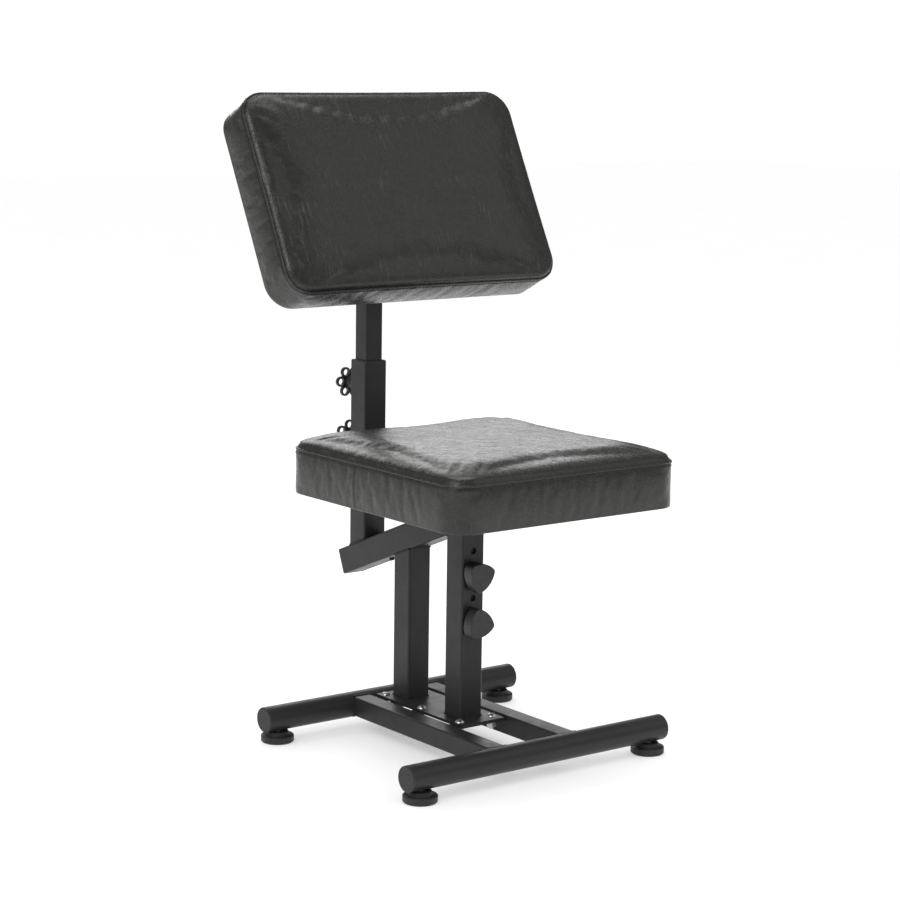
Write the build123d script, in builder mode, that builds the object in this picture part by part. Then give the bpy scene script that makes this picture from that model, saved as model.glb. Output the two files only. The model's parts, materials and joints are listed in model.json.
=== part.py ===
"""Adjustable padded throne on an H-shaped floor frame, in millimetres.

Z is up and z = 0 is the floor. The sitter faces -Y, X runs across the seat, and the origin lies on
the floor under the middle of the whole object's box.
"""

from build123d import *
from math import cos, radians, sin, sqrt, tan
import os

os.makedirs("parts", exist_ok=True)

# ---- Floor frame ----
base_width = 470.0  # over the end caps of the two cross tubes
base_depth = 360.0  # between the axes of the two cross tubes
cross_tube_r = 19.0
cross_tube_wall = 2.0
end_cap_flange = 3.0
end_cap_plug = 12.0
rail_side = 30.0
rail_wall = 2.0
rail_corner_r = 2.5
rail_centre_x = 64.5
strap_width = 20.0
strap_t = 4.0

# ---- Base plate and its fasteners ----
plate_t = 4.0
plate_corner_r = 3.0
plate_side_gap = 9.5  # between the plate and each rail
plate_tube_gap = 1.0  # between the plate and the rear cross tube
plate_front_margin = 28.5  # ahead of the front post
plate_rear_margin = 15.0  # behind the rear post
bolt_front_margin = 17.0  # from the plate's front edge to the first row
bolt_rear_margin = 11.5
bolt_x = 30.0
bolt_r = 4.0
bolt_head_r = 7.2
bolt_head_h = 4.4
bolt_socket = 5.0  # across flats
bolt_hole_play = 0.3
socket_depth_share = 0.6  # of a domed head's height
washer_r = 8.0
washer_t = 1.6
nut_flats = 13.0
nut_h = 6.5
bolt_end_past_nut = 3.0

# ---- Feet ----
foot_inset = 25.0  # from the end of the cross tube to the foot's axis
foot_r = 24.8
foot_rim_h = 11.0
foot_collar_r = 18.6
foot_collar_top_r = 16.3
foot_top_z = 16.4  # the collar's top
foot_clear = 0.6  # between the collar and the tube above it
foot_chamfer = 2.0  # round the sole
foot_rim_chamfer = 1.2
foot_rim_width = 3.0
foot_groove_width = 0.6  # round the collar at its foot
foot_groove_depth = 1.6
foot_stud_r = 4.0
foot_stud_in_pad = 6.0
foot_stud_reach = 15.0  # above the underside of the tube
foot_insert_wall = 1.6
foot_insert_h = 13.0

# ---- Posts, arm and sleeve ----
post_side = 40.0
post_wall = 2.5
post_corner_r = 3.0
post_pitch = 131.0  # rear post behind front post
min_inner_r = 0.5  # of a square tube's bore corners
arm_wall = 2.0
arm_angle = 22.0
arm_drop = 32.3  # from the front post's top to the arm's axis
arm_tail = 24.0  # past the sleeve
arm_cap_t = 3.0
arm_cap_plug = 12.0
arm_plug_behind = 60.5  # from the rear post's axis
arm_plug_r = 4.0
arm_plug_h = 3.5
arm_plug_stem_r = 2.4
sleeve_behind = 118.5  # from the rear post's axis
sleeve_top_z = 553.0

# ---- Sliding tubes, their bushes and plugs ----
slider_wall = 2.0
slider_corner_r = 2.0
slide_gap = 0.3  # between a slider and its bush, and between its plug and the bore
bush_wall = 2.2
bush_flange = 3.0
flange_chamfer_share = 0.6  # of the thickness of a bush flange or an end cap
seat_bush_skirt = 60.0
back_bush_skirt = 25.0
bush_stop_gap = 0.3  # between the seat plate and the bush it comes down to
slider_plug_h = 10.0
slider_plug_spigot = 12.0
slider_plug_corner_r = 1.0
slider_spigot_corner_r = 0.5
seat_slider_floor_gap = 5.0  # between its plug and the base plate
back_slider_in_sleeve = 223.0
back_slider_out = 300.5  # from the sleeve's top to the back of the pad

# ---- Clamp knobs ----
stud_r = 5.0
stud_play = 0.06
stud_tip_gap = 0.1
stud_chamfer = 0.8
boss_r = 8.0
seat_hole_drop = 73.0  # from the front post's top to its highest thread
seat_hole_pitch = 35.5
back_knob_drop = 37.0  # from the sleeve's top to the upper knob
back_knob_pitch = 85.0
tri_knob_tip = 25.5
tri_knob_waist = 19.5
tri_knob_tip_r = 6.5
tri_knob_t = 18.0
tri_knob_front_r = 1.5
tri_knob_back_r = 1.0
tri_knob_standoff = 4.5
tri_knob_hub_gap = 0.5  # between its hub and the post
tri_knob_turns = (17.0, -13.0)  # how far the upper and the lower one are turned
star_knob_lobes = 6
star_knob_lobe_r = 8.0
star_knob_pitch_r = 17.0
star_knob_hole_r = 5.0
star_knob_t = 5.5
star_knob_edge_r = 1.2
star_knob_standoff = 28.0  # from the sleeve to the near side of its lobes
star_knob_hub_r = 10.0
star_knob_hub_h = 17.0
star_knob_turns = (2.0, -30.0)
knob_hub_r = 11.0
stud_in_knob = 10.0

# ---- Seat ----
seat_width = 410.0
seat_depth = 418.0
seat_forward = 35.5  # of the front post's axis
seat_bottom_z = 383.6
seat_height = 86.0
seat_corner_r = 38.0
seat_top_edge_r = 24.0

# ---- Backrest ----
back_width = 496.0
back_height = 319.0
back_thickness = 76.0
back_tilt = 27.0
back_corner_r = 40.0
back_front_edge_r = 22.0
back_mount_above_centre = 66.0

# ---- Boards, cover cloths, mounting plates and their screws, seat and backrest alike ----
board_t = 12.0
board_inset = 4.0
pad_back_edge_r = 3.0
cloth_t = 0.8
cloth_inset = 14.0
seat_plate_side = 160.0
back_plate_side = 120.0
pad_plate_t = 4.0
pad_plate_corner_r = 10.0
screw_inset = 15.0
screw_r = 3.0
screw_head_r = 5.5
screw_head_h = 3.2
screw_socket = 4.0
screw_length = 14.0  # under the head
screw_play = 0.25
tee_nut_r = 4.0
tee_nut_flange_r = 9.0
tee_nut_flange_t = 1.4

# ---- Places that follow from the sizes above ----
tilt_cos, tilt_sin = cos(radians(back_tilt)), sin(radians(back_tilt))
arm_cos, arm_sin = cos(radians(arm_angle)), sin(radians(arm_angle))
tube_length = base_width - 2 * end_cap_flange
foot_x = base_width / 2 - foot_inset
tube_bottom_z = foot_top_z + foot_clear
cross_tube_z = tube_bottom_z + cross_tube_r
plate_top_z = cross_tube_z + rail_side / 2
strap_top_z = plate_top_z - plate_t
rail_inner_x = rail_centre_x - rail_side / 2
plate_width = 2 * (rail_inner_x - plate_side_gap)

# Distances behind the middle of the floor frame, and the shift that centres the whole box.
tube_half_chord = sqrt(cross_tube_r**2 - (strap_top_z - cross_tube_z) ** 2)
plate_rear = base_depth / 2 - tube_half_chord - plate_tube_gap
rear_post = plate_rear - plate_rear_margin - post_side / 2
front_post = rear_post - post_pitch
plate_front = front_post - post_side / 2 - plate_front_margin
seat_middle = front_post - seat_forward
sleeve_middle = rear_post + sleeve_behind
foot_reach = base_depth / 2 + foot_r
pad_reach = sleeve_middle + (back_height / 2 - back_mount_above_centre) * tilt_sin
knob_reach = sleeve_middle + post_side / 2 + star_knob_standoff + star_knob_t
base_y = (max(seat_depth / 2 - seat_middle, foot_reach) - max(pad_reach, knob_reach, foot_reach)) / 2

front_y = base_y + front_post
rear_y = base_y + rear_post
back_y = base_y + sleeve_middle
seat_y = base_y + seat_middle
plate_y = base_y + (plate_front + plate_rear) / 2
plate_length = plate_rear - plate_front
bolt_front_y = base_y + plate_front + bolt_front_margin
bolt_rear_y = base_y + plate_rear - bolt_rear_margin
bolt_rows = (bolt_front_y, (bolt_front_y + bolt_rear_y) / 2, bolt_rear_y)
bolt_spots = [(x, y) for y in bolt_rows for x in (-bolt_x, bolt_x)]

bore_side = post_side - 2 * post_wall
bore_corner_r = max(post_corner_r - post_wall, min_inner_r)
plug_side = bore_side - 2 * slide_gap
slider_side = bore_side - 2 * (bush_wall + slide_gap)
boss_h = bush_wall
seat_cloth_z = seat_bottom_z - cloth_t
seat_plate_z = seat_cloth_z - pad_plate_t
front_post_top_z = seat_plate_z - bush_stop_gap - bush_flange
seat_slider_bottom_z = plate_top_z + seat_slider_floor_gap
seat_hole_z = [front_post_top_z - seat_hole_drop - seat_hole_pitch * step for step in (0, 1, 2, 3)]
seat_knob_heights = (seat_hole_z[1], seat_hole_z[3])
back_slider_bottom_z = sleeve_top_z - back_slider_in_sleeve
back_mount_z = sleeve_top_z + back_slider_out
back_knob_heights = (sleeve_top_z - back_knob_drop, sleeve_top_z - back_knob_drop - back_knob_pitch)

post_face_y = front_y + post_side / 2
arm_length = (back_y + post_side / 2 + arm_tail - post_face_y) / arm_cos
arm_start = Vector(0, post_face_y, front_post_top_z - arm_drop)
arm_run = Vector(0, arm_cos, -arm_sin)
arm_up = Vector(0, arm_sin, arm_cos)
arm_under = Plane(origin=arm_start - arm_up * (post_side / 2), z_dir=arm_up)
arm_over = Plane(origin=arm_start + arm_up * (post_side / 2), z_dir=arm_up)

# Backrest plane: its origin is the middle of the pad's back face, z points to the front.
back_up = Vector(0, tilt_sin, tilt_cos)
back_middle = Vector(0, back_y, back_mount_z) - back_up * back_mount_above_centre
back_plane = Plane(origin=back_middle, x_dir=(1, 0, 0), z_dir=(0, -tilt_cos, tilt_sin))
seat_plane = Plane(origin=(0, seat_y, seat_bottom_z), x_dir=(1, 0, 0), z_dir=(0, 0, 1))


def save(part, name):
    """Label one finished piece and write it under its own name."""
    part.label = name
    export_step(part, f"parts/{name}.step")


def square_tube(plane, side, wall, corner_r, length):
    """A square tube that starts on the plane and runs along its normal."""
    with BuildPart() as tube:
        with BuildSketch(plane):
            RectangleRounded(side, side, corner_r)
            bore = side - 2 * wall
            RectangleRounded(bore, bore, max(corner_r - wall, min_inner_r), mode=Mode.SUBTRACT)
        extrude(amount=length)
    return tube.part


def add_bosses(tube, face_y, heights, inward):
    """Thread bosses drawn into one wall of an upright tube, each with its clearance bore."""
    with BuildPart() as bossed:
        add(tube)
        for height in heights:
            spot = (0, face_y + inward * post_wall, height)
            inner_face = Plane(origin=spot, x_dir=(1, 0, 0), z_dir=(0, inward, 0))
            with BuildSketch(inner_face):
                Circle(boss_r)
            extrude(amount=boss_h)
            with BuildSketch(inner_face):
                Circle(stud_r + stud_play)
            extrude(amount=-post_wall, mode=Mode.SUBTRACT)
            with BuildSketch(inner_face):
                Circle(stud_r + stud_play)
            extrude(amount=boss_h, mode=Mode.SUBTRACT)
    return bossed.part


def slider_bush(plane, skirt):
    """A square guide bush: a flange on the tube's end and a skirt pressed into its bore."""
    opening = slider_side + 2 * slide_gap
    opening_r = slider_corner_r + slide_gap
    with BuildPart() as bush:
        with BuildSketch(plane):
            RectangleRounded(post_side, post_side, post_corner_r)
        extrude(amount=bush_flange)
        chamfer(bush.faces().sort_by(Axis.Z)[-1].edges(), bush_flange * flange_chamfer_share)
        with BuildSketch(plane):
            RectangleRounded(bore_side, bore_side, bore_corner_r)
        extrude(amount=-skirt)
        with BuildSketch(plane.offset(bush_flange)):
            RectangleRounded(opening, opening, opening_r)
        extrude(amount=-(bush_flange + skirt), mode=Mode.SUBTRACT)
    return bush.part


def slider_plug(plane):
    """The plastic plug in the lower end of a slider, which rides in the bore around it."""
    spigot = slider_side - 2 * slider_wall
    with BuildPart() as plug:
        with BuildSketch(plane):
            RectangleRounded(plug_side, plug_side, slider_plug_corner_r)
        extrude(amount=slider_plug_h)
        with BuildSketch(plane.offset(slider_plug_h)):
            RectangleRounded(spigot, spigot, slider_spigot_corner_r)
        extrude(amount=slider_plug_spigot)
    return plug.part


def domed_screws(plane, spots, shaft_r, shaft_length, head_r, head_h, socket):
    """Socket screws with domed heads that stand on the plane, shafts running back through it."""
    dome_r = (head_r**2 + head_h**2) / (2 * head_h)
    with BuildPart() as head:
        Cylinder(head_r, head_h, align=(Align.CENTER, Align.CENTER, Align.MIN))
        with Locations((0, 0, head_h - dome_r)):
            Sphere(dome_r, mode=Mode.INTERSECT)
    with BuildPart() as screws:
        with BuildSketch(plane):
            with Locations(*spots):
                Circle(shaft_r)
        extrude(amount=-shaft_length)
        for spot in spots:
            add(head.part.moved(plane.location * Pos(*spot, 0)))
        with BuildSketch(plane.offset(head_h)):
            with Locations(*spots):
                RegularPolygon(socket / 2, 6, major_radius=False)
        extrude(amount=-head_h * socket_depth_share, mode=Mode.SUBTRACT)
    return screws.part


# ======== Floor frame ========
for end, side in (("front", -1), ("rear", 1)):
    axis_y = base_y + side * base_depth / 2
    with BuildPart() as cross_tube:
        with BuildSketch(Plane(origin=(-tube_length / 2, axis_y, cross_tube_z), z_dir=(1, 0, 0))):
            Circle(cross_tube_r)
            Circle(cross_tube_r - cross_tube_wall, mode=Mode.SUBTRACT)
        extrude(amount=tube_length)
        with BuildSketch(Plane.XY.offset(tube_bottom_z - foot_clear)):
            with Locations((-foot_x, axis_y), (foot_x, axis_y)):
                Circle(foot_stud_r + foot_insert_wall)
        extrude(amount=cross_tube_wall * 3, mode=Mode.SUBTRACT)
    save(cross_tube.part, f"{end}_cross_tube")

with BuildPart() as end_caps:
    for axis_y in (base_y - base_depth / 2, base_y + base_depth / 2):
        for side in (-1, 1):
            mouth = Plane(origin=(side * tube_length / 2, axis_y, cross_tube_z), z_dir=(side, 0, 0))
            with BuildSketch(mouth):
                Circle(cross_tube_r)
            extrude(amount=end_cap_flange)
            with BuildSketch(mouth):
                Circle(cross_tube_r - cross_tube_wall)
            extrude(amount=-end_cap_plug)
    large_rims = end_caps.edges().filter_by(GeomType.CIRCLE).group_by(SortBy.RADIUS)[-1]
    outer_rims = [rim for rim in large_rims if abs(rim.center().X) > tube_length / 2 + end_cap_flange / 2]
    fillet(outer_rims, end_cap_flange * flange_chamfer_share)
save(end_caps.part, "tube_end_caps")

with BuildPart() as inserts:
    with BuildSketch(Plane.XY.offset(tube_bottom_z - foot_clear / 2)):
        with GridLocations(2 * foot_x, base_depth, 2, 2):
            with Locations((0, base_y)):
                Circle(foot_stud_r + foot_insert_wall)
                Circle(foot_stud_r + stud_play, mode=Mode.SUBTRACT)
    extrude(amount=foot_insert_h)
save(inserts.part, "foot_thread_inserts")

for name, side in (("left_rail", -1), ("right_rail", 1)):
    start = Plane(origin=(side * rail_centre_x, base_y - base_depth / 2, cross_tube_z), z_dir=(0, 1, 0))
    with BuildPart() as rail:
        add(square_tube(start, rail_side, rail_wall, rail_corner_r, base_depth))
        for axis_y in (base_y - base_depth / 2, base_y + base_depth / 2):
            with BuildSketch(Plane(origin=(-tube_length / 2, axis_y, cross_tube_z), z_dir=(1, 0, 0))):
                Circle(cross_tube_r)
            extrude(amount=tube_length, mode=Mode.SUBTRACT)
    save(rail.part, name)

with BuildPart() as straps:
    with BuildSketch(Plane.XY.offset(strap_top_z)):
        with Locations(*[(0, row) for row in bolt_rows]):
            Rectangle(2 * rail_inner_x, strap_width)
        with Locations(*bolt_spots):
            Circle(bolt_r + bolt_hole_play, mode=Mode.SUBTRACT)
    extrude(amount=-strap_t)
save(straps.part, "cross_straps")

# ======== Base plate and fasteners ========
with BuildPart() as base_plate:
    with BuildSketch(Plane.XY.offset(plate_top_z)):
        with Locations((0, plate_y)):
            RectangleRounded(plate_width, plate_length, plate_corner_r)
        with Locations(*bolt_spots):
            Circle(bolt_r + bolt_hole_play, mode=Mode.SUBTRACT)
    extrude(amount=-plate_t)
save(base_plate.part, "base_plate")

nut_top_z = strap_top_z - strap_t - washer_t
bolt_length = plate_top_z - (nut_top_z - nut_h) + bolt_end_past_nut
plate_bolts = domed_screws(
    Plane.XY.offset(plate_top_z), bolt_spots, bolt_r, bolt_length, bolt_head_r, bolt_head_h, bolt_socket
)
save(plate_bolts, "plate_bolts")

with BuildPart() as washers:
    with BuildSketch(Plane.XY.offset(strap_top_z - strap_t)):
        with Locations(*bolt_spots):
            Circle(washer_r)
            Circle(bolt_r + bolt_hole_play, mode=Mode.SUBTRACT)
    extrude(amount=-washer_t)
save(washers.part, "plate_washers")

with BuildPart() as nuts:
    with BuildSketch(Plane.XY.offset(nut_top_z)):
        with Locations(*bolt_spots):
            RegularPolygon(nut_flats / 2, 6, major_radius=False)
            Circle(bolt_r, mode=Mode.SUBTRACT)
    extrude(amount=-nut_h)
save(nuts.part, "plate_nuts")

# ======== Feet ========
stud_bottom_z = foot_rim_h - foot_stud_in_pad
corners = (("front_left", -1, -1), ("front_right", 1, -1), ("rear_left", -1, 1), ("rear_right", 1, 1))
for name, x_side, y_side in corners:
    x, y = x_side * foot_x, base_y + y_side * base_depth / 2
    section = Plane(origin=(x, y, 0), x_dir=(1, 0, 0), z_dir=(0, -1, 0))
    with BuildPart() as pad:
        with BuildSketch(section):
            with BuildLine():
                Polyline(
                    (0, 0),
                    (foot_r - foot_chamfer, 0),
                    (foot_r, foot_chamfer),
                    (foot_r, foot_rim_h - foot_rim_chamfer),
                    (foot_r - foot_rim_chamfer, foot_rim_h),
                    (foot_r - foot_rim_width, foot_rim_h),
                    (foot_collar_r + foot_groove_width, foot_rim_h - foot_groove_depth),
                    (foot_collar_r, foot_rim_h - foot_groove_depth),
                    (foot_collar_top_r, foot_top_z),
                    (0, foot_top_z),
                    (0, 0),
                )
            make_face()
        revolve(axis=Axis((x, y, 0), (0, 0, 1)))
        with BuildSketch(Plane.XY.offset(stud_bottom_z)):
            with Locations((x, y)):
                Circle(foot_stud_r)
        extrude(amount=foot_top_z, mode=Mode.SUBTRACT)
    save(pad.part, f"foot_pad_{name}")

    with BuildPart() as stud:
        with BuildSketch(Plane.XY.offset(stud_bottom_z)):
            with Locations((x, y)):
                Circle(foot_stud_r)
        extrude(amount=tube_bottom_z + foot_stud_reach - stud_bottom_z)
        chamfer(stud.edges().group_by(Axis.Z)[-1], stud_chamfer)
    save(stud.part, f"foot_stud_{name}")

# ======== Posts, arm and sleeve ========
front_foot = Plane(origin=(0, front_y, plate_top_z))
rear_foot = Plane(origin=(0, rear_y, plate_top_z))
front_height = front_post_top_z - plate_top_z
front_tube = square_tube(front_foot, post_side, post_wall, post_corner_r, front_height)
save(add_bosses(front_tube, front_y - post_side / 2, seat_hole_z, 1), "front_post")

with BuildPart() as short_post:
    add(square_tube(rear_foot, post_side, post_wall, post_corner_r, front_height))
    split(bisect_by=arm_under, keep=Keep.BOTTOM)
save(short_post.part, "rear_post")

arm_tube_length = arm_length - arm_cap_t
with BuildPart() as arm:
    overlap = post_side * tan(radians(arm_angle))
    add(square_tube(
        Plane(origin=arm_start - arm_run * overlap, x_dir=(1, 0, 0), z_dir=arm_run),
        post_side, arm_wall, post_corner_r, arm_tube_length + overlap,
    ))
    split(bisect_by=Plane(origin=(0, post_face_y, 0), z_dir=(0, 1, 0)), keep=Keep.TOP)
    plug_run = (rear_y + arm_plug_behind - post_face_y) / arm_cos
    plug_spot = arm_start + arm_run * plug_run - arm_up * (post_side / 2)
    plug_plane = Plane(origin=plug_spot, x_dir=(1, 0, 0), z_dir=arm_up)
    with BuildSketch(plug_plane):
        Circle(arm_plug_stem_r)
    extrude(amount=arm_wall, mode=Mode.SUBTRACT)
save(arm.part, "support_arm")

with BuildPart() as arm_plug:
    with BuildSketch(plug_plane):
        Circle(arm_plug_r)
    extrude(amount=-arm_plug_h)
    fillet(arm_plug.edges().sort_by(Axis.Z)[0], arm_plug_h / 2)
    with BuildSketch(plug_plane):
        Circle(arm_plug_stem_r)
    extrude(amount=arm_wall * 2)
save(arm_plug.part, "arm_drain_plug")

arm_mouth = Plane(origin=arm_start + arm_run * arm_tube_length, x_dir=(1, 0, 0), z_dir=arm_run)
with BuildPart() as arm_cap:
    with BuildSketch(arm_mouth):
        RectangleRounded(post_side, post_side, post_corner_r)
    extrude(amount=arm_cap_t)
    outer_face = arm_cap.faces().sort_by(Axis(arm_mouth.origin, arm_run))[-1]
    chamfer(outer_face.edges(), arm_cap_t * flange_chamfer_share)
    with BuildSketch(arm_mouth):
        RectangleRounded(post_side - 2 * arm_wall, post_side - 2 * arm_wall, post_corner_r - arm_wall)
    extrude(amount=-arm_cap_plug)
save(arm_cap.part, "arm_end_cap")

sleeve_foot_z = arm_start.Z - (back_y - post_face_y) * tan(radians(arm_angle)) - post_side
sleeve_foot = Plane(origin=(0, back_y, sleeve_foot_z))
with BuildPart() as sleeve_tube:
    add(square_tube(sleeve_foot, post_side, post_wall, post_corner_r, sleeve_top_z - sleeve_foot_z))
    split(bisect_by=arm_over, keep=Keep.TOP)
save(add_bosses(sleeve_tube.part, back_y + post_side / 2, back_knob_heights, -1), "backrest_sleeve")

save(slider_bush(Plane(origin=(0, front_y, front_post_top_z)), seat_bush_skirt), "seat_guide_bush")
save(slider_bush(Plane(origin=(0, back_y, sleeve_top_z)), back_bush_skirt), "backrest_guide_bush")

# ======== Seat ========
seat_tube_foot = Plane(origin=(0, front_y, seat_slider_bottom_z + slider_plug_h))
seat_tube_length = seat_plate_z - seat_slider_bottom_z - slider_plug_h
seat_tube = square_tube(seat_tube_foot, slider_side, slider_wall, slider_corner_r, seat_tube_length)
save(seat_tube, "seat_slider_tube")
save(slider_plug(Plane(origin=(0, front_y, seat_slider_bottom_z))), "seat_slider_plug")

# ======== Backrest slider ========
back_tube_foot = Plane(origin=(0, back_y, back_slider_bottom_z + slider_plug_h))
back_tube_reach = back_slider_in_sleeve + back_slider_out + slider_side
with BuildPart() as back_tube:
    add(square_tube(back_tube_foot, slider_side, slider_wall, slider_corner_r, back_tube_reach))
    split(bisect_by=back_plane.offset(-cloth_t - pad_plate_t), keep=Keep.BOTTOM)
save(back_tube.part, "backrest_slider_tube")
save(slider_plug(Plane(origin=(0, back_y, back_slider_bottom_z))), "backrest_slider_plug")

# ======== Cushion, board, cloth, plate and screws of the seat and of the backrest ========
pads = (
    ("seat", seat_plane, seat_width, seat_depth, seat_height, seat_corner_r, seat_top_edge_r, seat_plate_side,
     (0, front_y - seat_y)),
    ("backrest", back_plane, back_width, back_height, back_thickness, back_corner_r, back_front_edge_r,
     back_plate_side, (0, back_mount_above_centre)),
)
for name, plane, width, depth, height, corner_r, edge_r, plate_side, plate_spot in pads:
    board_w, board_d = width - 2 * board_inset, depth - 2 * board_inset
    normal = Axis(plane.origin, plane.z_dir)
    reach = plate_side / 2 - screw_inset
    screw_spots = [(plate_spot[0] + x, plate_spot[1] + y) for x in (-reach, reach) for y in (-reach, reach)]
    plate_back = plane.offset(-cloth_t - pad_plate_t)

    with BuildPart() as cushion:
        with BuildSketch(plane):
            RectangleRounded(width, depth, corner_r)
        extrude(amount=height)
        fillet(cushion.faces().sort_by(normal)[-1].edges(), edge_r)
        fillet(cushion.faces().sort_by(normal)[0].edges(), pad_back_edge_r)
        with BuildSketch(plane):
            RectangleRounded(board_w, board_d, corner_r - board_inset)
        extrude(amount=board_t, mode=Mode.SUBTRACT)
    save(cushion.part, f"{name}_cushion")

    with BuildPart() as board:
        with BuildSketch(plane):
            RectangleRounded(board_w, board_d, corner_r - board_inset)
            with Locations(*screw_spots):
                Circle(tee_nut_r, mode=Mode.SUBTRACT)
        extrude(amount=board_t)
        with BuildSketch(plane.offset(board_t)):
            with Locations(*screw_spots):
                Circle(tee_nut_flange_r)
        extrude(amount=-tee_nut_flange_t, mode=Mode.SUBTRACT)
    save(board.part, f"{name}_board")

    with BuildPart() as tee_nuts:
        with BuildSketch(plane.offset(board_t)):
            with Locations(*screw_spots):
                Circle(tee_nut_flange_r)
                Circle(screw_r, mode=Mode.SUBTRACT)
        extrude(amount=-tee_nut_flange_t)
        with BuildSketch(plane):
            with Locations(*screw_spots):
                Circle(tee_nut_r)
                Circle(screw_r, mode=Mode.SUBTRACT)
        extrude(amount=board_t - tee_nut_flange_t)
    save(tee_nuts.part, f"{name}_tee_nuts")

    with BuildPart() as cloth:
        with BuildSketch(plane):
            RectangleRounded(width - 2 * cloth_inset, depth - 2 * cloth_inset, corner_r - cloth_inset)
            with Locations(*screw_spots):
                Circle(screw_r + screw_play, mode=Mode.SUBTRACT)
        extrude(amount=-cloth_t)
    save(cloth.part, f"{name}_dust_cloth")

    with BuildPart() as pad_plate:
        with BuildSketch(plate_back):
            with Locations(plate_spot):
                RectangleRounded(plate_side, plate_side, pad_plate_corner_r)
            with Locations(*screw_spots):
                Circle(screw_r + screw_play, mode=Mode.SUBTRACT)
        extrude(amount=pad_plate_t)
    save(pad_plate.part, f"{name}_mounting_plate")

    underside = Plane(origin=plate_back.origin, x_dir=plate_back.x_dir, z_dir=-plate_back.z_dir)
    under_spots = [(x, -y) for x, y in screw_spots]
    head = (screw_head_r, screw_head_h, screw_socket)
    save(domed_screws(underside, under_spots, screw_r, screw_length, *head), f"{name}_plate_screws")

# ======== Clamp knobs ========
for name, height, turn in zip(("upper", "lower"), seat_knob_heights, tri_knob_turns):
    post_front = Plane(origin=(0, front_y - post_side / 2, height), x_dir=(1, 0, 0), z_dir=(0, -1, 0))
    with BuildPart() as knob:
        with BuildSketch(post_front.offset(tri_knob_standoff)):
            with BuildLine():
                for tip in (0, 1, 2):
                    a, b, c = (radians(turn + 120 * tip + step) for step in (0, 60, 120))
                    ThreePointArc(
                        (tri_knob_tip * cos(a), tri_knob_tip * sin(a)),
                        (tri_knob_waist * cos(b), tri_knob_waist * sin(b)),
                        (tri_knob_tip * cos(c), tri_knob_tip * sin(c)),
                    )
            outline = make_face()
            fillet(outline.vertices(), tri_knob_tip_r)
        extrude(amount=tri_knob_t)
        fillet(knob.faces().sort_by(Axis.Y)[0].edges(), tri_knob_front_r)
        fillet(knob.faces().sort_by(Axis.Y)[-1].edges(), tri_knob_back_r)
        with BuildSketch(post_front.offset(tri_knob_standoff)):
            Circle(knob_hub_r)
        extrude(amount=-(tri_knob_standoff - tri_knob_hub_gap))
        with BuildSketch(post_front):
            Circle(stud_r)
        extrude(amount=tri_knob_standoff + stud_in_knob, mode=Mode.SUBTRACT)
    save(knob.part, f"seat_knob_{name}")

    stud_length = tri_knob_standoff + stud_in_knob + (post_side - slider_side) / 2 - stud_tip_gap
    with BuildPart() as stud:
        with BuildSketch(post_front.offset(tri_knob_standoff + stud_in_knob)):
            Circle(stud_r)
        extrude(amount=-stud_length)
        chamfer(stud.edges().group_by(Axis.Y)[-1], stud_chamfer)
    save(stud.part, f"seat_knob_stud_{name}")

for name, height, turn in zip(("upper", "lower"), back_knob_heights, star_knob_turns):
    sleeve_rear = Plane(origin=(0, back_y + post_side / 2, height), x_dir=(-1, 0, 0), z_dir=(0, 1, 0))
    with BuildPart() as knob:
        with BuildSketch(sleeve_rear.offset(star_knob_standoff)):
            Circle(star_knob_pitch_r)
            with PolarLocations(star_knob_pitch_r, star_knob_lobes, start_angle=turn):
                Circle(star_knob_lobe_r)
        extrude(amount=star_knob_t)
        fillet(knob.faces().sort_by(Axis.Y)[-1].edges(), star_knob_edge_r)
        fillet(knob.faces().sort_by(Axis.Y)[0].edges(), star_knob_edge_r)
        with BuildSketch(sleeve_rear.offset(star_knob_standoff + star_knob_t)):
            with PolarLocations(star_knob_pitch_r, star_knob_lobes, start_angle=turn):
                Circle(star_knob_hole_r)
        extrude(amount=-star_knob_t, mode=Mode.SUBTRACT)
        with BuildSketch(sleeve_rear.offset(star_knob_standoff)):
            Circle(star_knob_hub_r)
        extrude(amount=-star_knob_hub_h)
        with BuildSketch(sleeve_rear):
            Circle(stud_r)
        extrude(amount=star_knob_standoff, mode=Mode.SUBTRACT)
    save(knob.part, f"backrest_knob_{name}")

    stud_length = star_knob_standoff + (post_side - slider_side) / 2 - stud_tip_gap
    with BuildPart() as stud:
        with BuildSketch(sleeve_rear.offset(star_knob_standoff)):
            Circle(stud_r)
        extrude(amount=-stud_length)
        chamfer(stud.edges().group_by(Axis.Y)[0], stud_chamfer)
    save(stud.part, f"backrest_knob_stud_{name}")
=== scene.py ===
import json
import math
import random
import bpy
import numpy as np
from mathutils import Matrix, Vector, noise


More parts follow.
